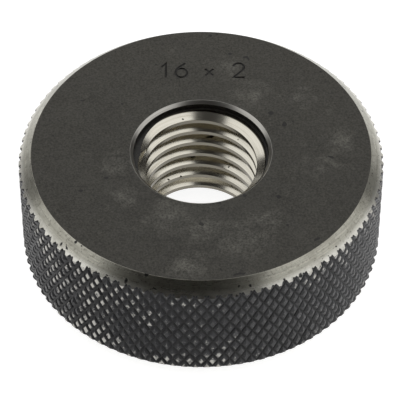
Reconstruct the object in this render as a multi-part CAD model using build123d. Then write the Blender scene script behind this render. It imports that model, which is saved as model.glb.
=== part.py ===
"""Go thread ring gauge, M16 x 2: one ring of hardened gauge steel, turned outside, relieved at
both mouths and ground with the internal thread it gauges.

Millimetres, +Z up, origin at the centre of the face it rests on, thread axis along Z.
"""
import os
from math import ceil, cos, floor, radians, sin, tan

from build123d import *
from build123d.topology import SkipClean

os.makedirs("parts", exist_ok=True)

# ring blank
ring_diameter = 45.0
ring_thickness = 16.0
rim_chamfer_width = 1.6
rim_chamfer_height = 1.6

# thread, 60 degree metric form, right hand
thread_diameter = 16.0
thread_pitch = 2.0
thread_offset = 0.45        # height of the groove's middle where it crosses +X
blunt_start_drop = 1.4      # from the counterbore's floor to the groove's middle
blunt_cut_clearance = 0.1   # beyond the thread's root
blunt_cutter_radius = 5.0

# both mouths: a bevel, then a counterbore that clears the thread's root
relief_clearance = 0.34
relief_depth = 1.0
mouth_bevel_width = 0.38
mouth_bevel_height = 0.38

# worked out from the sizes above
ring_radius = ring_diameter / 2.0
root_radius = thread_diameter / 2.0
relief_radius = root_radius + relief_clearance
flank_slope = tan(radians(30.0))
sharp_height = thread_pitch / (2.0 * flank_slope)
apex_radius = root_radius + sharp_height / 8.0
minor_radius = apex_radius - 0.75 * sharp_height
inner_radius = apex_radius - 0.95 * sharp_height


def half_width(radius):
    """Half the groove's width at a radius: the flanks meet at the apex radius."""
    return (apex_radius - radius) * flank_slope


def groove_height(angle):
    """Height of the groove's middle at an angle counted along the helix from +X."""
    return thread_offset + thread_pitch * angle / 360.0


def groove_angle(height):
    """Angle along the helix at which the groove's middle has a height."""
    return 360.0 * (height - thread_offset) / thread_pitch


def helix_path(start, end):
    """Helix of the groove between two angles, broken at the seams of the bore's two faces."""
    seams = [180.0 * n for n in range(floor(start / 180.0) + 1, ceil(end / 180.0))]
    stops = [start] + seams + [end]
    with BuildLine() as path:
        for a, b in zip(stops, stops[1:]):
            arc = Helix(
                pitch=thread_pitch,
                height=groove_height(b) - groove_height(a),
                radius=minor_radius,
                mode=Mode.PRIVATE,
            )
            add(Pos(0, 0, groove_height(a)) * Rot(0, 0, a) * arc)
    return path.wires()[0]


def section_plane(angle):
    """Axial plane on the helix at an angle, its x outwards and its y up."""
    a = radians(angle)
    return Plane(
        origin=(0, 0, groove_height(angle)),
        x_dir=(cos(a), sin(a), 0),
        z_dir=(sin(a), -cos(a), 0),
    )


with SkipClean(), BuildPart() as gauge_ring:
    # turned disc with a chamfer round both rims
    with BuildSketch(Plane.XZ):
        with BuildLine():
            Polyline(
                (0, 0),
                (ring_radius - rim_chamfer_width, 0),
                (ring_radius, rim_chamfer_height),
                (ring_radius, ring_thickness - rim_chamfer_height),
                (ring_radius - rim_chamfer_width, ring_thickness),
                (0, ring_thickness),
                close=True,
            )
        make_face()
    revolve(axis=Axis.Z)

    # bore at the thread's minor diameter, cut as two half rounds: no land runs round in one face
    for first in (0, 180):
        with BuildSketch():
            with BuildLine():
                arc = CenterArc((0, 0), minor_radius, first, 180)
                Line(arc @ 1, arc @ 0)
            make_face()
        extrude(amount=ring_thickness, mode=Mode.SUBTRACT)

    # bevel and counterbore at each mouth
    for face, inward in ((0.0, 1.0), (ring_thickness, -1.0)):
        with BuildSketch(Plane.XZ):
            with BuildLine():
                Polyline(
                    (0, face),
                    (relief_radius + mouth_bevel_width, face),
                    (relief_radius, face + inward * mouth_bevel_height),
                    (relief_radius, face + inward * relief_depth),
                    (0, face + inward * relief_depth),
                    close=True,
                )
            make_face()
        revolve(axis=Axis.Z, mode=Mode.SUBTRACT)

    # thread groove: a flat-rooted V carried along one helix, out through both counterbores
    run_out = half_width(inner_radius) + 0.1 * thread_pitch
    lowest = floor(groove_angle(relief_depth - run_out) / 180.0) * 180.0
    highest = ceil(groove_angle(ring_thickness - relief_depth + run_out) / 180.0) * 180.0
    with BuildSketch(section_plane(lowest)) as groove_section:
        with BuildLine():
            Polyline(
                (inner_radius, -half_width(inner_radius)),
                (root_radius, -half_width(root_radius)),
                (root_radius, half_width(root_radius)),
                (inner_radius, half_width(inner_radius)),
                close=True,
            )
        make_face()
    sweep(
        sections=groove_section.sketch,
        path=helix_path(lowest, highest),
        is_frenet=True,
        mode=Mode.SUBTRACT,
    )

    # blunt starts: the part of the first thread that isn't whole is cut away along the helix,
    # and where the round cutter plunges in, the crest runs out to the root on its radius
    cut_radius = root_radius + blunt_cut_clearance
    for floor_height, inward in (
        (relief_depth, 1.0),
        (ring_thickness - relief_depth, -1.0),
    ):
        feather = groove_angle(floor_height + inward * half_width(root_radius))
        full = groove_angle(floor_height + inward * blunt_start_drop)
        start, end = sorted((feather, full))
        with BuildSketch(section_plane(start)) as blunt_section:
            with BuildLine():
                Polyline(
                    (inner_radius, 0),
                    (cut_radius, 0),
                    (cut_radius, -inward * blunt_start_drop),
                    (inner_radius, -inward * blunt_start_drop),
                    close=True,
                )
            make_face()
        sweep(
            sections=blunt_section.sketch,
            path=helix_path(start, end),
            is_frenet=True,
            mode=Mode.SUBTRACT,
        )
        plunge = radians(full)
        with BuildSketch(Plane.XY.offset(groove_height(full))):
            with Locations((
                (cut_radius - blunt_cutter_radius) * cos(plunge),
                (cut_radius - blunt_cutter_radius) * sin(plunge),
            )):
                Circle(blunt_cutter_radius)
        extrude(amount=-inward * (blunt_start_drop + 0.2), mode=Mode.SUBTRACT)

gauge_ring.part.label = "gauge_ring"
export_step(gauge_ring.part, "parts/gauge_ring.step")
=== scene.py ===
import bmesh
import bpy
import numpy as np
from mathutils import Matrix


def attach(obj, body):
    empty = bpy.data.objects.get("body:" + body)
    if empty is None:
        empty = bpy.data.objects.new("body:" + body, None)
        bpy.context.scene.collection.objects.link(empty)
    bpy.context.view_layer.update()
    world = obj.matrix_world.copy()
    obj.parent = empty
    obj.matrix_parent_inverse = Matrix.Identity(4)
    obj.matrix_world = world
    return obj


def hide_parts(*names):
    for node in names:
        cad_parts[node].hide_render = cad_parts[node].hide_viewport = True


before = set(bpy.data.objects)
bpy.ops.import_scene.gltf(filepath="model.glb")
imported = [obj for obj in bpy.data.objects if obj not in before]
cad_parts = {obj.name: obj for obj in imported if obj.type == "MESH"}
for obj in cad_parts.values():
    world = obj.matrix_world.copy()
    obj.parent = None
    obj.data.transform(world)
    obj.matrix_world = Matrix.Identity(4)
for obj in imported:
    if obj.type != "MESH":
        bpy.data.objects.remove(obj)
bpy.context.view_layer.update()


# ---------------------------------------------------------------- ring blank
# The gauge is one piece of hardened tool steel: a turned disc with a 45 degree
# chamfer round both rims and a ground M16 x 2 thread through its middle. At each
# mouth are a bevel and a plain recess, and the thread's thin ends are cut back.

RIM_RADIUS = 22.5
THICKNESS = 16.0
CHAMFER = 1.6
EDGE_ROUND = 0.09
MOUTH_BEVEL = 0.38
RECESS_RADIUS, RECESS_DEPTH = 8.34, 1.0

THREAD_PITCH = 2.0
THREAD_OFFSET = 0.45        # height of a groove's middle where it crosses +X
ROOT_RADIUS = 8.0
FLANK_SLOPE = np.tan(np.radians(30))
APEX_RADIUS = ROOT_RADIUS + THREAD_PITCH / 16 / FLANK_SLOPE
MINOR_RADIUS = APEX_RADIUS - THREAD_PITCH * 3 / 8 / FLANK_SLOPE

# degrees along the helix: where the thread is whole, and how far it is cut away past that
THREAD_FOOT, THREAD_TOP = 351, 207 + 360 * 6
CUT_AWAY = 229.5
CUT_RADIUS, CUTTER_RADIUS = ROOT_RADIUS + 0.1, 5.0


def mesh_of(name, points, faces):
    """A mesh object from points in millimetres and faces as lists of point
    numbers. Points that lie together are merged, faces of no area are taken
    out, and all faces are turned outwards."""
    mesh = bpy.data.meshes.new(name)
    mesh.from_pydata((points * 0.001).tolist(), [], faces)
    shape = bmesh.new()
    shape.from_mesh(mesh)
    bmesh.ops.remove_doubles(shape, verts=shape.verts, dist=1e-7)
    bmesh.ops.dissolve_degenerate(shape, edges=shape.edges, dist=1e-8)
    bmesh.ops.recalc_face_normals(shape, faces=shape.faces)
    if shape.calc_volume(signed=True) < 0:
        bmesh.ops.reverse_faces(shape, faces=shape.faces)
    shape.to_mesh(mesh)
    shape.free()
    item = bpy.data.objects.new(name, mesh)
    bpy.context.scene.collection.objects.link(item)
    return item


def rounded_corner(before, corner, after, radius, steps=3):
    """Points of a small arc in place of a corner: the arc touches both sides
    at radius over tan(half the corner's angle) from the corner, and its points
    are the centre plus the radius, turned from one touching point to the other."""
    a, b, c = (np.array(p, float) for p in (before, corner, after))
    to_a, to_c = (a - b) / np.linalg.norm(a - b), (c - b) / np.linalg.norm(c - b)
    half = np.arccos(np.clip(to_a @ to_c, -1, 1)) / 2
    start, end = b + to_a * radius / np.tan(half), b + to_c * radius / np.tan(half)
    centre = b + (to_a + to_c) / np.linalg.norm(to_a + to_c) * radius / np.sin(half)
    share = np.linspace(0, 1, steps + 1)[:, None]
    arm = (start - centre) * (1 - share) + (end - centre) * share
    return centre + arm / np.linalg.norm(arm, axis=1, keepdims=True) * radius


def crest_radius(way, turn, above):
    """Radius of the crest beside a groove, at a way round in degrees and a
    whole turn, on the groove's upper or lower side. It is the minor radius. At
    an angle d before either end of the whole thread it runs out along the
    cutter's circle, of radius r and centred e off the axis: e cos d +
    sqrt(r^2 - e^2 sin^2 d). Past the end it is the cut's radius, just over the
    root's, and beyond the stretch cut away it is nought."""
    past_top = way + 360 * (turn - ~above) - THREAD_TOP
    past_foot = THREAD_FOOT - (way + 360 * (turn + above))
    beyond = ((past_top > CUT_AWAY) & (past_top < 360)) | ((past_foot > CUT_AWAY) & (past_foot < 360))
    from_end = np.radians(np.clip(-np.maximum(past_top, past_foot), 0, 90))
    off = CUT_RADIUS - CUTTER_RADIUS
    circle = off * np.cos(from_end) + np.sqrt(CUTTER_RADIUS ** 2 - (off * np.sin(from_end)) ** 2)
    return np.where(beyond, 0.0, np.maximum(circle, MINOR_RADIUS))


def ring_surface():
    """Points and faces of the blank as a grid of angle by place round the
    section. In the thread the radius at a height is the flank's, apex less the
    height from the nearest groove's middle over tan 30, held between crest and
    root. A groove's middle climbs one pitch a turn, so the grid's rows climb
    with it, and they are held between the floors of the two recesses."""
    top_end, foot_end = (THREAD_TOP + CUT_AWAY) % 360, (THREAD_FOOT - CUT_AWAY) % 360
    angle = np.sort(np.append(np.arange(-7.5, 353, 1.5), (top_end, foot_end)))
    # both ends of the cut have two columns in one place, one on each side of the step
    second = np.append(False, np.diff(angle) == 0)
    aside = 1e-4 * (second & (angle == top_end)) - 1e-4 * (~second & (angle == foot_end))
    way = (angle + aside)[:, None]

    # six rows to a groove: crest, flank and root edges on its upper and on its lower side
    grooves = np.arange(7, -2, -1)
    edges = THREAD_PITCH * np.array([3 / 8, 1 / 16, 0, 0, -1 / 16, -3 / 8])
    row_turn, row_part = np.repeat(grooves, 6)[None, :], np.tile(edges, len(grooves))[None, :]
    row_above = np.tile([True] * 3 + [False] * 3, len(grooves))[None, :]

    crest = np.maximum(crest_radius(way, row_turn, row_above), MINOR_RADIUS)
    crest_part = np.clip((APEX_RADIUS - crest) * FLANK_SLOPE, THREAD_PITCH / 16, None)
    at_crest = np.abs(row_part) > THREAD_PITCH / 4
    middle = (THREAD_OFFSET + angle / 360 * THREAD_PITCH)[:, None]
    part = np.where(at_crest, np.sign(row_part) * crest_part, row_part)
    free = middle + THREAD_PITCH * row_turn + part
    low, high = RECESS_DEPTH, THICKNESS - RECESS_DEPTH
    height = np.clip(free, low, high)
    held = height != free
    turn = np.where(held, np.round((height - middle) / THREAD_PITCH), row_turn)
    above = np.where(held, height > middle + THREAD_PITCH * turn, row_above)
    from_middle = np.abs(height - middle - THREAD_PITCH * turn)
    radius = np.clip(APEX_RADIUS - from_middle / FLANK_SLOPE, MINOR_RADIUS, ROOT_RADIUS)
    radius = np.maximum(radius, crest_radius(way, turn, above))

    # the section's upper side from rim to recess, its lower side back, and the rim
    mouth, rim = RECESS_RADIUS + MOUTH_BEVEL, RIM_RADIUS - CHAMFER
    bevel_foot = (RECESS_RADIUS, THICKNESS - MOUTH_BEVEL)
    chamfer_foot = (RIM_RADIUS, THICKNESS - CHAMFER)
    at_rim = rounded_corner(chamfer_foot, (rim, THICKNESS), (mouth, THICKNESS), EDGE_ROUND)
    at_mouth = rounded_corner((rim, THICKNESS), (mouth, THICKNESS), bevel_foot, EDGE_ROUND / 2, 2)
    upper = np.vstack([at_rim, at_mouth, [bevel_foot, (RECESS_RADIUS, high), (CUT_RADIUS, high)]])
    lower = (upper * (1, -1) + (0, THICKNESS))[::-1]
    rim_side = np.array([(RIM_RADIUS, CHAMFER), chamfer_foot])
    upper, lower, rim_side = (np.broadcast_to(side, (len(angle), *side.shape))
                              for side in (upper, lower, rim_side))

    loop = np.concatenate([upper, np.stack([radius, height], -1), lower, rim_side], axis=1)
    bearing = np.radians(angle)[:, None]
    points = np.stack([loop[..., 0] * np.cos(bearing), loop[..., 0] * np.sin(bearing), loop[..., 1]], -1)
    columns, rows = loop.shape[:2]
    first, row = np.meshgrid(np.arange(columns - 1), np.arange(rows), indexing="ij")
    here, beside = first * rows + row, first * rows + (row + 1) % rows
    faces = np.stack([here, beside, beside + rows, here + rows], -1)
    return points.reshape(-1, 3), faces.reshape(-1, 4).tolist()


ring = mesh_of("ring", *ring_surface())


# --------------------------------------------------------------------- knurl
# The rim carries a diamond knurl, rolled into the steel by a pair of wheels
# with slanting teeth. Its points stop at the turned rim, so each diamond has a
# small flat, and the two chamfers cut across it.

KNURL_TEETH = 102
KNURL_AXIAL_PITCH = 2.33
KNURL_TOP_ROW = 13.2                # height of the middles of its diamonds
KNURL_RADIUS = RIM_RADIUS - 0.012
KNURL_DEPTH = 0.30
KNURL_ROWS = np.arange(-12, 4)      # half pitches up from the top row, to past both rims

# shares of a cell's width: from its edge to the flat, and from its edge to the valley's side
FLAT_EDGE, VALLEY_FLOOR = 0.33, 0.05
FLAT_SPREAD, FLAT_LEAST, FLAT_MOST = 0.05, 0.22, 0.44
FLAT_DROP = 0.006                   # spread of how far a flat is below the rim


def knurl_surface():
    """Points and faces of a cylinder of diamonds, longer than the rim. Two
    families of valleys, u and v, run round it at even steps: u is angle over
    tooth angle plus height over axial pitch, v is the same with a minus. Each
    diamond is the grid of u and v at b, a, 1-a, 1-b and 1+b within its cell:
    its four inner points stand at the rim, the rest lie at the valley's depth,
    and from -b to b is the valley's floor. A seeded random a makes the flats
    differ as they do from uneven rolling."""
    rng = np.random.default_rng(seed=7)
    level, place = np.meshgrid(KNURL_ROWS, np.arange(KNURL_TEETH), indexing="ij")
    level, place = level.ravel(), place.ravel()
    middle_angle = (place + 0.5 * (level % 2)) * 2 * np.pi / KNURL_TEETH
    middle_height = level * KNURL_AXIAL_PITCH / 2 + KNURL_TOP_ROW
    # the wheels press unevenly, in two slow waves round the rim and up it
    wave = np.sin(3 * middle_angle + 1.0) * 0.02 + np.sin(middle_height * 0.9 + 2 * middle_angle) * 0.015
    share = FLAT_EDGE + wave + rng.normal(0, FLAT_SPREAD, len(level))
    share = np.clip(share, FLAT_LEAST, FLAT_MOST)[:, None, None]
    whole = np.array([0.0, 0.0, 1.0, 1.0, 1.0])
    flat_side = np.array([0.0, 1.0, -1.0, 0.0, 0.0])
    floor_side = np.array([1.0, 0.0, 0.0, -1.0, 1.0]) * VALLEY_FLOOR
    lift = np.abs(flat_side)[:, None] * np.abs(flat_side)[None, :]
    share = np.where(lift, share, FLAT_EDGE)
    u = (whole + floor_side)[:, None] + flat_side[:, None] * share - 0.5
    v = (whole + floor_side)[None, :] + flat_side[None, :] * share - 0.5
    drop = np.abs(rng.normal(0, FLAT_DROP, (len(level), 1, 1)))
    radius = KNURL_RADIUS - KNURL_DEPTH * (1 - lift) - drop * lift
    angle = middle_angle[:, None, None] + (u + v) / 2 * 2 * np.pi / KNURL_TEETH
    height = middle_height[:, None, None] + (u - v) / 2 * KNURL_AXIAL_PITCH
    points = np.stack([radius * np.cos(angle), radius * np.sin(angle), height], -1).reshape(-1, 3)

    # two triangles to a square, those at a diamond's corners split along its ridges
    corner = np.arange(25).reshape(5, 5)
    triangles = []
    for i, j in np.ndindex(4, 4):
        p, q, r, s = corner[i, j], corner[i + 1, j], corner[i + 1, j + 1], corner[i, j + 1]
        if (i, j) in ((0, 2), (2, 0)):
            triangles += [(p, q, s), (q, r, s)]
        else:
            triangles += [(p, q, r), (p, r, s)]
    cell = np.arange(len(level))[:, None, None] * corner.size
    return points, (cell + np.array(triangles)[None]).reshape(-1, 3).tolist()


def close_ends(item, out):
    """Closes each open end of a tube with triangles to one point on its axis,
    at a distance out from the end, in metres."""
    middle = THICKNESS / 2 * 0.001
    shape = bmesh.new()
    shape.from_mesh(item.data)
    for sign in (-1, 1):
        rims = [e for e in shape.edges if e.is_boundary and sign * (e.verts[0].co.z - middle) > 0]
        tip = shape.verts.new((0, 0, np.mean([e.verts[0].co.z for e in rims]) + sign * out))
        for e in rims:
            shape.faces.new((e.verts[0], e.verts[1], tip))
    bmesh.ops.recalc_face_normals(shape, faces=shape.faces)
    if shape.calc_volume(signed=True) < 0:
        bmesh.ops.reverse_faces(shape, faces=shape.faces)
    shape.to_mesh(item.data)
    shape.free()


def cut(piece, tool, operation):
    """Joins, cuts or keeps what is common of two closed meshes, and removes
    the tool."""
    step = piece.modifiers.new("cut", "BOOLEAN")
    step.operation, step.solver, step.object = operation, "MANIFOLD", tool
    bpy.context.view_layer.update()
    cut_piece = piece.evaluated_get(bpy.context.evaluated_depsgraph_get())
    piece.data = bpy.data.meshes.new_from_object(cut_piece)
    piece.modifiers.clear()
    bpy.data.objects.remove(tool)


knurl = mesh_of("knurl", *knurl_surface())
close_ends(knurl, 0.001)
cut(ring, knurl, "INTERSECT")


# ------------------------------------------------------------ engraved size
# The thread's size, 16 by 2, is cut in the upper face with a round-nosed
# engraving cutter, before the ring is blackened.

STROKE_RADIUS = 0.165
STROKE_LIFT = 0.02          # the cutter's centre above the face
FIGURE_HEIGHT = 2.5
FIGURE_SLIMNESS = 0.92
MARK_WIDTH = 4.7            # in figure heights
MARK_CENTRE = 13.95


def arc(centre, radii, start, end, steps):
    """Points of an ellipse arc from one angle to another, in degrees."""
    turn = np.radians(np.linspace(start, end, steps))
    return np.stack([centre[0] + radii[0] * np.cos(turn), centre[1] + radii[1] * np.sin(turn)], -1)


def groove_tool(path, closed=False):
    """Points and faces of a round bar along a path in the plane of the face:
    at each point of the path a ring of eight points, at the stroke's radius
    along the path's mean side direction and the vertical."""
    if closed:
        ahead, behind = np.roll(path, -1, 0), np.roll(path, 1, 0)
    else:
        ahead = np.vstack([path[1:], 2 * path[-1] - path[-2]])
        behind = np.vstack([2 * path[0] - path[1], path[:-1]])
    along_in = (path - behind) / np.linalg.norm(path - behind, axis=1, keepdims=True)
    along_out = (ahead - path) / np.linalg.norm(ahead - path, axis=1, keepdims=True)
    along = along_in + along_out
    along /= np.linalg.norm(along, axis=1, keepdims=True)
    mitre = 1 / np.maximum((along * along_in).sum(1), 0.5)
    side = np.stack([-along[:, 1], along[:, 0]], -1) * mitre[:, None]
    turn = np.arange(8) * np.pi / 4 + np.pi / 8
    flat = path[:, None, :] + STROKE_RADIUS * np.cos(turn)[None, :, None] * side[:, None, :]
    height = np.broadcast_to(THICKNESS + STROKE_LIFT + STROKE_RADIUS * np.sin(turn), flat.shape[:2])
    points = np.concatenate([flat, height[..., None]], -1).reshape(-1, 3)
    count = len(path)
    first, place = np.meshgrid(np.arange(count if closed else count - 1), np.arange(8), indexing="ij")
    after, beside = (first + 1) % count, (place + 1) % 8
    faces = np.stack([first * 8 + place, first * 8 + beside, after * 8 + beside, after * 8 + place], -1)
    ends = [] if closed else [list(range(8)), list(range(count * 8 - 8, count * 8))]
    return points, faces.reshape(-1, 4).tolist() + ends


def size_strokes():
    """The strokes of 1, 6, a cross and 2, each figure in a box one unit high,
    as (path, place, closed, layer). Strokes that cross lie in different layers."""
    one = [(0.18, 0.72), (0.42, 1.0), (0.42, 0.0)]
    six_bowl = arc((0.32, 0.31), (0.31, 0.31), 0, 345, 24)
    six_stem = np.vstack([[(0.52, 1.0)], arc((0.82, 0.31), (0.81, 0.66), 122, 180, 8)])
    two = np.vstack([arc((0.31, 0.70), (0.30, 0.30), 165, -35, 14), [(0.02, 0.0), (0.64, 0.0)]])
    cross_up = [(0.08, 0.12), (0.52, 0.60)]
    cross_down = [(0.08, 0.60), (0.52, 0.12)]
    return [(one, 0.0, False, 0), (six_bowl, 0.95, True, 0), (six_stem, 0.95, False, 1),
            (cross_up, 2.5, False, 0), (cross_down, 2.5, False, 1), (two, 4.1, False, 0)]


for layer in (0, 1):
    tool_points, tool_faces = [], []
    for path, place, closed, stroke_layer in size_strokes():
        if stroke_layer == layer:
            on_face = (np.asarray(path) + (place - MARK_WIDTH / 2, -0.5)) * FIGURE_HEIGHT
            points, faces = groove_tool(on_face * (FIGURE_SLIMNESS, 1.0) + (0.0, MARK_CENTRE), closed)
            before = sum(map(len, tool_points))
            tool_faces += [[corner + before for corner in face] for face in faces]
            tool_points.append(points)
    cut(ring, mesh_of("stroke", np.vstack(tool_points), tool_faces), "DIFFERENCE")


# ------------------------------------------------------------- surface zones
# Each machined surface keeps its own finish, so the faces of the mesh are
# sorted by place and slope into blackened face, turned chamfer, knurl, mouth
# bevel, recess and thread.

FACE_ZONE, CHAMFER_ZONE, KNURL_ZONE, BEVEL_ZONE, RECESS_ZONE, THREAD_ZONE = range(6)


def surface_zones(mesh):
    """The zone number of each face, from its middle's distance to the axis
    and height in millimetres and the upward share of its normal: a chamfer's
    is 0.71, a knurl's flank is less and a flat face's is 1."""
    count = len(mesh.polygons)
    middle, normal = np.empty(count * 3), np.empty(count * 3)
    mesh.polygons.foreach_get("center", middle)
    mesh.polygons.foreach_get("normal", normal)
    middle, normal = middle.reshape(-1, 3) * 1000, normal.reshape(-1, 3)
    out, height, up = np.hypot(middle[:, 0], middle[:, 1]), middle[:, 2], np.abs(normal[:, 2])
    from_face = np.minimum(height, THICKNESS - height)
    in_mouth, past_bevel = out < RECESS_RADIUS + 0.01, from_face > MOUTH_BEVEL + 0.01
    cut_wall = (out > ROOT_RADIUS + 0.03) & (out < RECESS_RADIUS)
    zone = np.full(count, FACE_ZONE)
    zone[(out > RIM_RADIUS - CHAMFER - 0.2) & (up < 0.985) & (up > 0.62)] = CHAMFER_ZONE
    zone[(out > RIM_RADIUS - 0.8) & (up <= 0.62)] = KNURL_ZONE
    zone[(out < RECESS_RADIUS + MOUTH_BEVEL + 0.05) & ~past_bevel & (up < 0.985)] = BEVEL_ZONE
    zone[in_mouth & past_bevel] = RECESS_ZONE
    zone[(out > RECESS_RADIUS + 1) & (out < RIM_RADIUS - 2) & (from_face > 0.002)] = RECESS_ZONE
    zone[in_mouth & (from_face > RECESS_DEPTH + 0.001) & ~cut_wall] = THREAD_ZONE
    return zone


ring.data.materials.clear()
ring.data.polygons.foreach_set("material_index", surface_zones(ring.data).astype(np.int32))
ring.data.polygons.foreach_set("use_smooth", np.ones(len(ring.data.polygons), bool))
ring.data.set_sharp_from_angle(angle=np.radians(25))
shading = ring.modifiers.new("even_shading", "WEIGHTED_NORMAL")
shading.keep_sharp = True


# ------------------------------------------------------------ blackened faces
# Both faces are ground flat and then blackened in hot salts, which leaves a
# thin skin of black oxide on the steel. Handling has left dust, finger marks
# and a few pits on it.

# black oxide on ground steel: a matt dielectric skin, brown-grey, a little
# paler towards the back. A noise's scale is how many of its
# blotches go to a millimetre: clouds in the skin are 8 mm across, the film of
# dust 2 mm, the mottle 1 mm, and the etched grain is drawn at 0.25 mm where the
# real one is 0.05. Pale smudges are finger marks and dust, given as sideways
# and forward place and radius in millimetres.
SMUDGES = [(6.4, 9.6, 2.6), (3.4, 14.4, 1.7), (-3.8, -11.1, 3.0), (4.9, -14.2, 3.4),
           (7.6, -11.6, 1.9), (0.4, -12.6, 2.6), (17.2, 1.6, 2.2), (14.6, -2.6, 1.7),
           (-10.2, -2.4, 1.6), (-9.4, -7.6, 1.8), (-1.5, -18.6, 2.4), (12.4, 9.2, 1.8)]
SMUDGE_FRAY = 9.0           # how far the film's noise moves a smudge's edge


def linear(colour):
    """A hex sRGB colour as linear red, green, blue and an alpha of one."""
    share = np.array([int(colour[k:k + 2], 16) for k in (1, 3, 5)]) / 255
    return (*np.where(share <= 0.04045, share / 12.92, ((share + 0.055) / 1.055) ** 2.4).tolist(), 1.0)


def material(piece, name):
    """A new material on a piece, as its node tree and shader node."""
    made = bpy.data.materials.new(name)
    made.use_nodes = True
    piece.data.materials.append(made)
    return made.node_tree, made.node_tree.nodes["Principled BSDF"]


def add(tree, kind, inputs=(), out=0, **settings):
    """Adds a node with its settings and gives one of its output sockets. Its
    inputs are listed in order, or given by name or number, each as a value or
    as the output socket that is linked to it."""
    made = tree.nodes.new("ShaderNode" + kind)
    for name, value in settings.items():
        setattr(made, name, value)
    placed = inputs if isinstance(inputs, dict) else dict(enumerate(inputs))
    for place, value in placed.items():
        if isinstance(value, bpy.types.NodeSocket):
            tree.links.new(value, made.inputs[place])
        else:
            made.inputs[place].default_value = value
    return made.outputs[out]


def point_on_ring(tree):
    """The point on the ring in millimetres."""
    return add(tree, "VectorMath", {0: add(tree, "TexCoord", out="Object"), 3: 1000.0}, operation="SCALE")


def from_axis(tree, point):
    """The point's distance from the axis: its length without its height."""
    flat = add(tree, "VectorMath", (point, (1, 1, 0)), operation="MULTIPLY")
    return add(tree, "VectorMath", (flat,), out="Value", operation="LENGTH")


def round_axis(tree, point):
    """The point's angle round the axis from +X, in radians."""
    sideways, forward = (add(tree, "SeparateXYZ", (point,), out=way) for way in "XY")
    return add(tree, "Math", (forward, sideways), operation="ARCTAN2")


tree, shader = material(ring, "black_oxide_face")
point = point_on_ring(tree)
cloud = add(tree, "TexNoise", {"Vector": point, "Scale": 0.13, "Detail": 4.0, "Roughness": 0.62})
film = add(tree, "TexNoise",
           {"Vector": point, "Scale": 0.45, "Detail": 5.0, "Roughness": 0.68, "Distortion": 0.8})
mottle = add(tree, "TexNoise", {"Vector": point, "Scale": 0.9, "Detail": 4.0, "Roughness": 0.6})
grain = add(tree, "TexNoise", {"Vector": point, "Scale": 3.8, "Detail": 3.0, "Roughness": 0.75})
pit = add(tree, "TexNoise", {"Vector": point, "Scale": 0.72, "Detail": 1.0, "Roughness": 0.4})

smear = 0.0
for x, y, size in SMUDGES:
    away = add(tree, "VectorMath", (point, (x, y, THICKNESS)), out="Value", operation="DISTANCE")
    away = add(tree, "Math", (film, -SMUDGE_FRAY, away), operation="MULTIPLY_ADD")
    edge, middle = size + 0.5 - SMUDGE_FRAY / 2, size * 0.1 - 0.5 - SMUDGE_FRAY / 2
    smear = add(tree, "Math", (smear, add(tree, "MapRange", (away, edge, middle))), operation="MAXIMUM")
thin = add(tree, "MapRange", (mottle, 0.3, 0.66, 0.25, 1.0))
smear = add(tree, "Math", (smear, thin), operation="MULTIPLY")
stray = add(tree, "MapRange", (film, 0.56, 0.74, 0.0, 0.35))
smear = add(tree, "Math", (smear, stray), operation="MAXIMUM")
broken = add(tree, "MapRange", (grain, 0.36, 0.62, 0.15, 0.9))
smear = add(tree, "Math", (smear, broken), operation="MULTIPLY")

near_rim = add(tree, "MapRange", (from_axis(tree, point), 15.0, 21.0, 0.0, 0.45))
# a little paler towards the back
paler_to_back = add(tree, "MapRange", (add(tree, "SeparateXYZ", (point,), out="Y"), -8.0, 16.0, 0.0, 0.4))
colour = linear("#28261f")
for share, tone in [(add(tree, "MapRange", (cloud, 0.34, 0.66)), "#34322b"),
                    (near_rim, "#302d26"),
                    (paler_to_back, "#3e3b32"),
                    (add(tree, "MapRange", (mottle, 0.42, 0.7, 0.0, 0.5)), "#42403a"),
                    (add(tree, "MapRange", (grain, 0.42, 0.7, 0.0, 0.6)), "#54524b"),
                    (add(tree, "MapRange", (grain, 0.48, 0.3, 0.0, 0.65)), "#1a1915"),
                    (smear, "#706e66"),
                    (add(tree, "MapRange", (pit, 0.75, 0.765, 0.0, 0.85)), "#12110f")]:
    colour = add(tree, "Mix", {0: share, 6: colour, 7: linear(tone)}, out=2, data_type="RGBA")
tree.links.new(colour, shader.inputs["Base Color"])
tree.links.new(add(tree, "MapRange", (film, 0.4, 0.75, 0.46, 0.62)), shader.inputs["Roughness"])
shader.inputs["Specular IOR Level"].default_value = 0.32
etched = add(tree, "Bump", {"Strength": 0.3, "Distance": 0.00002, "Height": grain})
tree.links.new(etched, shader.inputs["Normal"])


# -------------------------------------------------------------- turned chamfer
# Both chamfers are turned last, across the blackened knurl, so they are bare
# steel with a bright burr at the outer edge. Handling has left nicks, dark
# specks and a little brown stain on them.

# turned bare steel: satin metal with fine rings round the axis from the tool's
# feed of 0.1 mm, drawn at 0.2 mm to show. Stains are 2 mm across and grit
# 0.3 mm. The larger nicks are given as sideways and forward place and radius
# in millimetres.
FEED_RINGS, FEED_BREAKS = 6.0, 4.4      # to a millimetre of height, and to a radian
NICKS = [(-6.45, -19.9, 0.26), (-8.85, -20.13, 0.24), (4.24, -22.1, 0.22), (11.79, -18.96, 0.24),
         (-16.77, -14.28, 0.16), (-14.94, -14.79, 0.16), (9.9, -19.8, 0.14)]
NICK_FRAY = 0.5                         # how far the grit's noise moves a nick's edge

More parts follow.
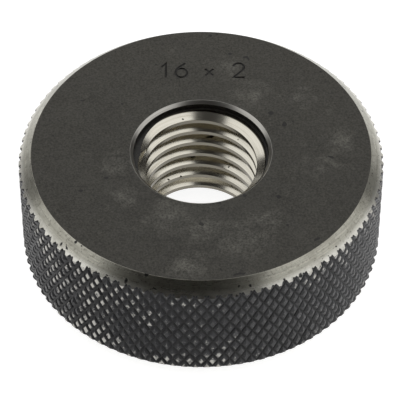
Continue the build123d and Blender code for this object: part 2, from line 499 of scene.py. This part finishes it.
tree, shader = material(ring, "turned_steel_chamfer")
point = point_on_ring(tree)
height = add(tree, "SeparateXYZ", (point,), out="Z")
rings = add(tree, "CombineXYZ", (height, round_axis(tree, point)))
rings = add(tree, "VectorMath", (rings, (FEED_RINGS, FEED_BREAKS, 1.0)), operation="MULTIPLY")
feed = add(tree, "TexNoise", {"Vector": rings, "Scale": 1.0, "Detail": 3.0, "Roughness": 0.65})
stain = add(tree, "TexNoise", {"Vector": point, "Scale": 0.5, "Detail": 4.0, "Roughness": 0.7})
grit = add(tree, "TexNoise", {"Vector": point, "Scale": 3.0, "Detail": 3.0, "Roughness": 0.7})
speck = add(tree, "TexNoise", {"Vector": point, "Scale": 1.3, "Detail": 2.0, "Roughness": 0.5})

to_edge = add(tree, "Math", (stain, 0.8, from_axis(tree, point)), operation="MULTIPLY_ADD")
to_edge = add(tree, "MapRange", (to_edge, RIM_RADIUS - 0.35, RIM_RADIUS + 0.05))
uneven = add(tree, "MapRange", (stain, 0.62, 0.42, 0.35, 1.0))
burr = add(tree, "Math", (to_edge, uneven), operation="MULTIPLY")

dark = add(tree, "MapRange", (speck, 0.69, 0.715))
flat = add(tree, "VectorMath", (point, (1, 1, 0)), operation="MULTIPLY")
for x, y, size in NICKS:
    away = add(tree, "VectorMath", (flat, (x, y, 0)), out="Value", operation="DISTANCE")
    away = add(tree, "Math", (grit, -NICK_FRAY, away), operation="MULTIPLY_ADD")
    edge, middle = size + 0.05 - NICK_FRAY / 2, size - 0.05 - NICK_FRAY / 2
    dark = add(tree, "Math", (dark, add(tree, "MapRange", (away, edge, middle))), operation="MAXIMUM")

colour = linear("#99978d")
for share, tone in [(add(tree, "MapRange", (feed, 0.3, 0.7)), "#b9b7ab"),
                    (add(tree, "MapRange", (stain, 0.45, 0.72, 0.0, 0.5)), "#7e7b70"),
                    (add(tree, "MapRange", (grit, 0.53, 0.68, 0.0, 0.55)), "#5d5a53"),
                    (burr, "#d9d7cf"),
                    (dark, "#151412")]:
    colour = add(tree, "Mix", {0: share, 6: colour, 7: linear(tone)}, out=2, data_type="RGBA")
tree.links.new(colour, shader.inputs["Base Color"])
tree.links.new(add(tree, "MapRange", (dark, 0.0, 1.0, 1.0, 0.2)), shader.inputs["Metallic"])
tree.links.new(add(tree, "MapRange", (feed, 0.3, 0.7, 0.31, 0.26)), shader.inputs["Roughness"])
ridged = add(tree, "Bump", {"Strength": 0.12, "Distance": 0.00003, "Height": feed})
tree.links.new(ridged, shader.inputs["Normal"])


# ------------------------------------------------------------ blackened knurl
# The rolled knurl keeps its black oxide, painted greyer on one side as a sheen.
# Oil and dirt lie in its valleys, which are also darkened with painted shade, and
# handling has rubbed the flats of the diamonds bare, in patches, more of them
# towards one side of the rim, and along both edges of the band.

# black oxide on rolled steel: blue-black and a little oily, with small painted
# highlights as glints along the sides of the diamonds, drawn at 0.2 mm to show.
# Rubbed patches are 6 mm across, flecks in the skin 1 mm and chips on the flats 0.35 mm.
# the bearing where most flats are bare, and the bearing of the painted sheen
BARE_FLATS_BEARING, PAINTED_SHEEN_BEARING = np.radians(-122), np.radians(-25)     # angles round the axis
VALLEY_RADIUS = KNURL_RADIUS - KNURL_DEPTH

tree, shader = material(ring, "black_oxide_knurl")
point = point_on_ring(tree)
out, turn = from_axis(tree, point), round_axis(tree, point)
height = add(tree, "SeparateXYZ", (point,), out="Z")
patch = add(tree, "TexNoise", {"Vector": point, "Scale": 0.17, "Detail": 3.0, "Roughness": 0.6})
fleck = add(tree, "TexNoise", {"Vector": point, "Scale": 1.1, "Detail": 3.0, "Roughness": 0.7})
chip = add(tree, "TexNoise", {"Vector": point, "Scale": 2.8, "Detail": 3.0, "Roughness": 0.7})
painted_glint = add(tree, "TexNoise", {"Vector": point, "Scale": 4.5, "Detail": 2.0, "Roughness": 0.8})

from_bare_flats = add(tree, "Math", (turn, BARE_FLATS_BEARING), operation="SUBTRACT")
from_painted_sheen = add(tree, "Math", (turn, PAINTED_SHEEN_BEARING), operation="SUBTRACT")
bare_flats_side = add(tree, "Math", (from_bare_flats,), operation="COSINE")
painted_sheen_side = add(tree, "Math", (from_painted_sheen,), operation="COSINE")

rubbed = add(tree, "Math", (chip, 0.6, patch), operation="MULTIPLY_ADD")
for more in (add(tree, "MapRange", (height, 9.5, 13.5, 0.0, 0.11)),
             add(tree, "MapRange", (height, 4.2, 2.2, 0.0, 0.115)),
             # more of the flats bare towards one bearing round the rim
             add(tree, "MapRange", (bare_flats_side, 0.75, 0.98, -0.04, 0.12))):
    rubbed = add(tree, "Math", (rubbed, more), operation="ADD")
flat = add(tree, "MapRange", (out, RIM_RADIUS - 0.10, RIM_RADIUS - 0.03))
rubbed = add(tree, "Math", (add(tree, "MapRange", (rubbed, 0.91, 1.01)), flat), operation="MULTIPLY")
# painted highlights: pale specks high on the sides of the diamonds
painted_glint = add(tree, "MapRange", (painted_glint, 0.56, 0.66, 0.0, 0.75))
upper_side = add(tree, "MapRange", (out, RIM_RADIUS - 0.20, RIM_RADIUS - 0.08))

colour = linear("#28282b")
for share, tone in [(add(tree, "MapRange", (fleck, 0.35, 0.7)), "#38383b"),
                    (add(tree, "Math", (flat, 0.7), operation="MULTIPLY"), "#4c4c4e"),
                    # painted sheen: the oxide paler towards one side, where light falls on it
                    (add(tree, "MapRange", (painted_sheen_side, 0.2, 0.9, 0.0, 0.85)), "#5e5e5f"),
                    (add(tree, "Math", (painted_glint, upper_side), operation="MULTIPLY"), "#a09f9c"),
                    # darker towards the valley floors: oil and dirt, together with painted shade
                    (add(tree, "MapRange", (out, VALLEY_RADIUS + 0.10, VALLEY_RADIUS + 0.01)), "#0f0f10"),
                    (rubbed, "#b5b3ad")]:
    colour = add(tree, "Mix", {0: share, 6: colour, 7: linear(tone)}, out=2, data_type="RGBA")
tree.links.new(colour, shader.inputs["Base Color"])
tree.links.new(rubbed, shader.inputs["Metallic"])
tree.links.new(add(tree, "MapRange", (fleck, 0.3, 0.7, 0.34, 0.48)), shader.inputs["Roughness"])
shader.inputs["Specular IOR Level"].default_value = 0.25
rolled = add(tree, "Bump", {"Strength": 0.5, "Distance": 0.00004, "Height": fleck})
tree.links.new(rolled, shader.inputs["Normal"])


# ----------------------------------------------------------- mouth and thread
# After blackening, the bevel at each mouth is ground bare and the thread is
# ground and lapped bright. Its crests are painted greyer, as painted shade for the
# darker floor they reflect. The recess behind the bevel stays black.

# ground bevel: bare satin steel with rings round the axis, drawn at 0.1 mm
BEVEL_RINGS, BEVEL_BREAKS = 9.0, 1.6    # to a millimetre outwards, and to a radian
tree, shader = material(ring, "ground_steel_bevel")
point = point_on_ring(tree)
rings = add(tree, "CombineXYZ", (from_axis(tree, point), round_axis(tree, point)))
rings = add(tree, "VectorMath", (rings, (BEVEL_RINGS, BEVEL_BREAKS, 1.0)), operation="MULTIPLY")
feed = add(tree, "TexNoise", {"Vector": rings, "Scale": 1.0, "Detail": 3.0, "Roughness": 0.6})
light = add(tree, "MapRange", (feed, 0.3, 0.7))
colour = add(tree, "Mix", {0: light, 6: linear("#a09d97"), 7: linear("#bfbdb7")}, out=2, data_type="RGBA")
tree.links.new(colour, shader.inputs["Base Color"])
shader.inputs["Metallic"].default_value = 1.0
shader.inputs["Roughness"].default_value = 0.3

# black oxide in the recess and the engraving: the same skin, nearly black
tree, shader = material(ring, "black_oxide_recess")
point = point_on_ring(tree)
grain = add(tree, "TexNoise", {"Vector": point, "Scale": 2.6, "Detail": 3.0, "Roughness": 0.7})
light = add(tree, "MapRange", (grain, 0.45, 0.8))
colour = add(tree, "Mix", {0: light, 6: linear("#191714"), 7: linear("#36332e")}, out=2, data_type="RGBA")
tree.links.new(colour, shader.inputs["Base Color"])
shader.inputs["Roughness"].default_value = 0.42
shader.inputs["Specular IOR Level"].default_value = 0.3

# ground and lapped thread: bright bare steel, slightly warm from the oil on
# it, with lapping lines along the thread, drawn at 0.25 mm, and a few specks.
# The roots are painted dark, as painted shade.
LAP_LINES, LAP_BREAKS = 4.0, 1.2        # to a millimetre, and to a radian
tree, shader = material(ring, "lapped_steel_thread")
point = point_on_ring(tree)
out, turn = from_axis(tree, point), round_axis(tree, point)
height = add(tree, "SeparateXYZ", (point,), out="Z")
climb = add(tree, "Math", (turn, -THREAD_PITCH / (2 * np.pi), height), operation="MULTIPLY_ADD")
lines = add(tree, "CombineXYZ", (climb, turn, out))
lines = add(tree, "VectorMath", (lines, (LAP_LINES, LAP_BREAKS, LAP_LINES)), operation="MULTIPLY")
lap = add(tree, "TexNoise", {"Vector": lines, "Scale": 1.0, "Detail": 3.0, "Roughness": 0.6})
speck = add(tree, "TexNoise", {"Vector": point, "Scale": 1.0, "Detail": 1.0, "Roughness": 0.4})
colour = linear("#cdc8bb")
for share, tone in [(add(tree, "MapRange", (lap, 0.3, 0.72)), "#e0dccf"),
                    # painted shade on the crests, in place of the darker floor they reflect
                    (add(tree, "MapRange", (out, MINOR_RADIUS + 0.045, MINOR_RADIUS + 0.015)), "#807c72"),
                    # painted shade in the roots of the thread
                    (add(tree, "MapRange", (out, ROOT_RADIUS - 0.16, ROOT_RADIUS - 0.06)), "#37332b"),
                    (add(tree, "MapRange", (speck, 0.765, 0.785)), "#1b1915")]:
    colour = add(tree, "Mix", {0: share, 6: colour, 7: linear(tone)}, out=2, data_type="RGBA")
tree.links.new(colour, shader.inputs["Base Color"])
shader.inputs["Metallic"].default_value = 1.0
tree.links.new(add(tree, "MapRange", (lap, 0.3, 0.7, 0.20, 0.15)), shader.inputs["Roughness"])

ring.name = "ring_gauge_body"
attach(ring, "root")
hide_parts("gauge_ring")


# ---------------------------------------------------------------------- studio
# A plain white paper floor in a white tent, which lights the ring evenly from
# all round. Black flags keep its bare metal from washing out: one fills the
# tent's open side and one stands behind. The camera doesn't see the flags.

bpy.ops.mesh.primitive_plane_add(size=6.0)
floor = bpy.context.object
floor.name = "floor"
tree, shader = material(floor, "white_paper_floor")
seen = 0.0
for ray in ("Is Camera Ray", "Is Glossy Ray", "Is Transmission Ray"):
    seen = add(tree, "Math", (seen, add(tree, "LightPath", out=ray)), operation="MAXIMUM")
colour = add(tree, "Mix", {0: seen, 6: linear("#e7e7e7"), 7: linear("#aaaaaa")}, out=2, data_type="RGBA")
tree.links.new(colour, shader.inputs["Base Color"])
shader.inputs["Roughness"].default_value = 0.9
shader.inputs["Specular IOR Level"].default_value = 0.1
shader.inputs["Emission Color"].default_value = (1, 1, 1, 1)
glow = add(tree, "Math", (seen, 0.88), operation="MULTIPLY")
tree.links.new(glow, shader.inputs["Emission Strength"])

world = bpy.data.worlds.new("white_tent")
bpy.context.scene.world = world
world.use_nodes = True
world.node_tree.nodes["Background"].inputs["Color"].default_value = (1, 1, 1, 1)
world.node_tree.nodes["Background"].inputs["Strength"].default_value = 1.0


def flag(name, bearing, rise, distance):
    """A black card as a grid of points at one distance from the ring, in
    metres, from their bearings round it and rises above its level, in degrees:
    the distance times the bearing's cosine and sine, both times the rise's
    cosine, and the distance times the rise's sine."""
    bearing, rise = np.radians(bearing), np.radians(rise)
    points = np.stack([np.cos(bearing) * np.cos(rise), np.sin(bearing) * np.cos(rise), np.sin(rise)], -1)
    corner = np.arange(rise.size).reshape(rise.shape)
    faces = np.stack([corner[:-1, :-1], corner[1:, :-1], corner[1:, 1:], corner[:-1, 1:]], -1)
    mesh = bpy.data.meshes.new(name)
    mesh.from_pydata((points.reshape(-1, 3) * distance).tolist(), [], faces.reshape(-1, 4).tolist())
    card = bpy.data.objects.new(name, mesh)
    bpy.context.scene.collection.objects.link(card)
    _, shader = material(card, name + "_cloth")
    shader.inputs["Base Color"].default_value = linear("#312f2c")
    shader.inputs["Roughness"].default_value = 1.0
    card.visible_camera = False


# the open side, which the camera looks in from: upright from the floor to just
# short of overhead
bearing, rise = np.meshgrid(np.linspace(-149, -51, 41), np.linspace(0, 85, 13))
flag("open_side_flag", bearing, rise, 1.6)

# behind: a low band from one side round to the other, with a taller card in it
# towards each end
bearing, share = np.meshgrid(np.linspace(17, 163, 60), np.linspace(0, 1, 4))
top = np.interp(bearing, (20, 24, 52, 58, 122, 127, 155, 160), (13, 37, 34, 13, 13, 31, 28, 13))
flag("low_flag", bearing, top * share, 1.8)

scene = bpy.context.scene
scene.view_settings.view_transform = "Standard"


# ---------------------------------------------------------------------- camera
# A long lens, 33 cm from the ring, looks down on it at 48 degrees.

view = bpy.data.cameras.new("camera")
view.sensor_width = 36.0
view.lens = 243.26
view.clip_start, view.clip_end = 0.01, 20.0
camera = bpy.data.objects.new("camera", view)
scene.collection.objects.link(camera)
camera.location = (-0.0001314, -0.22728, 0.25809)
camera.rotation_euler = (np.radians(42.150), 0.0, 0.0)
scene.camera = camera

bpy.context.view_layer.update()
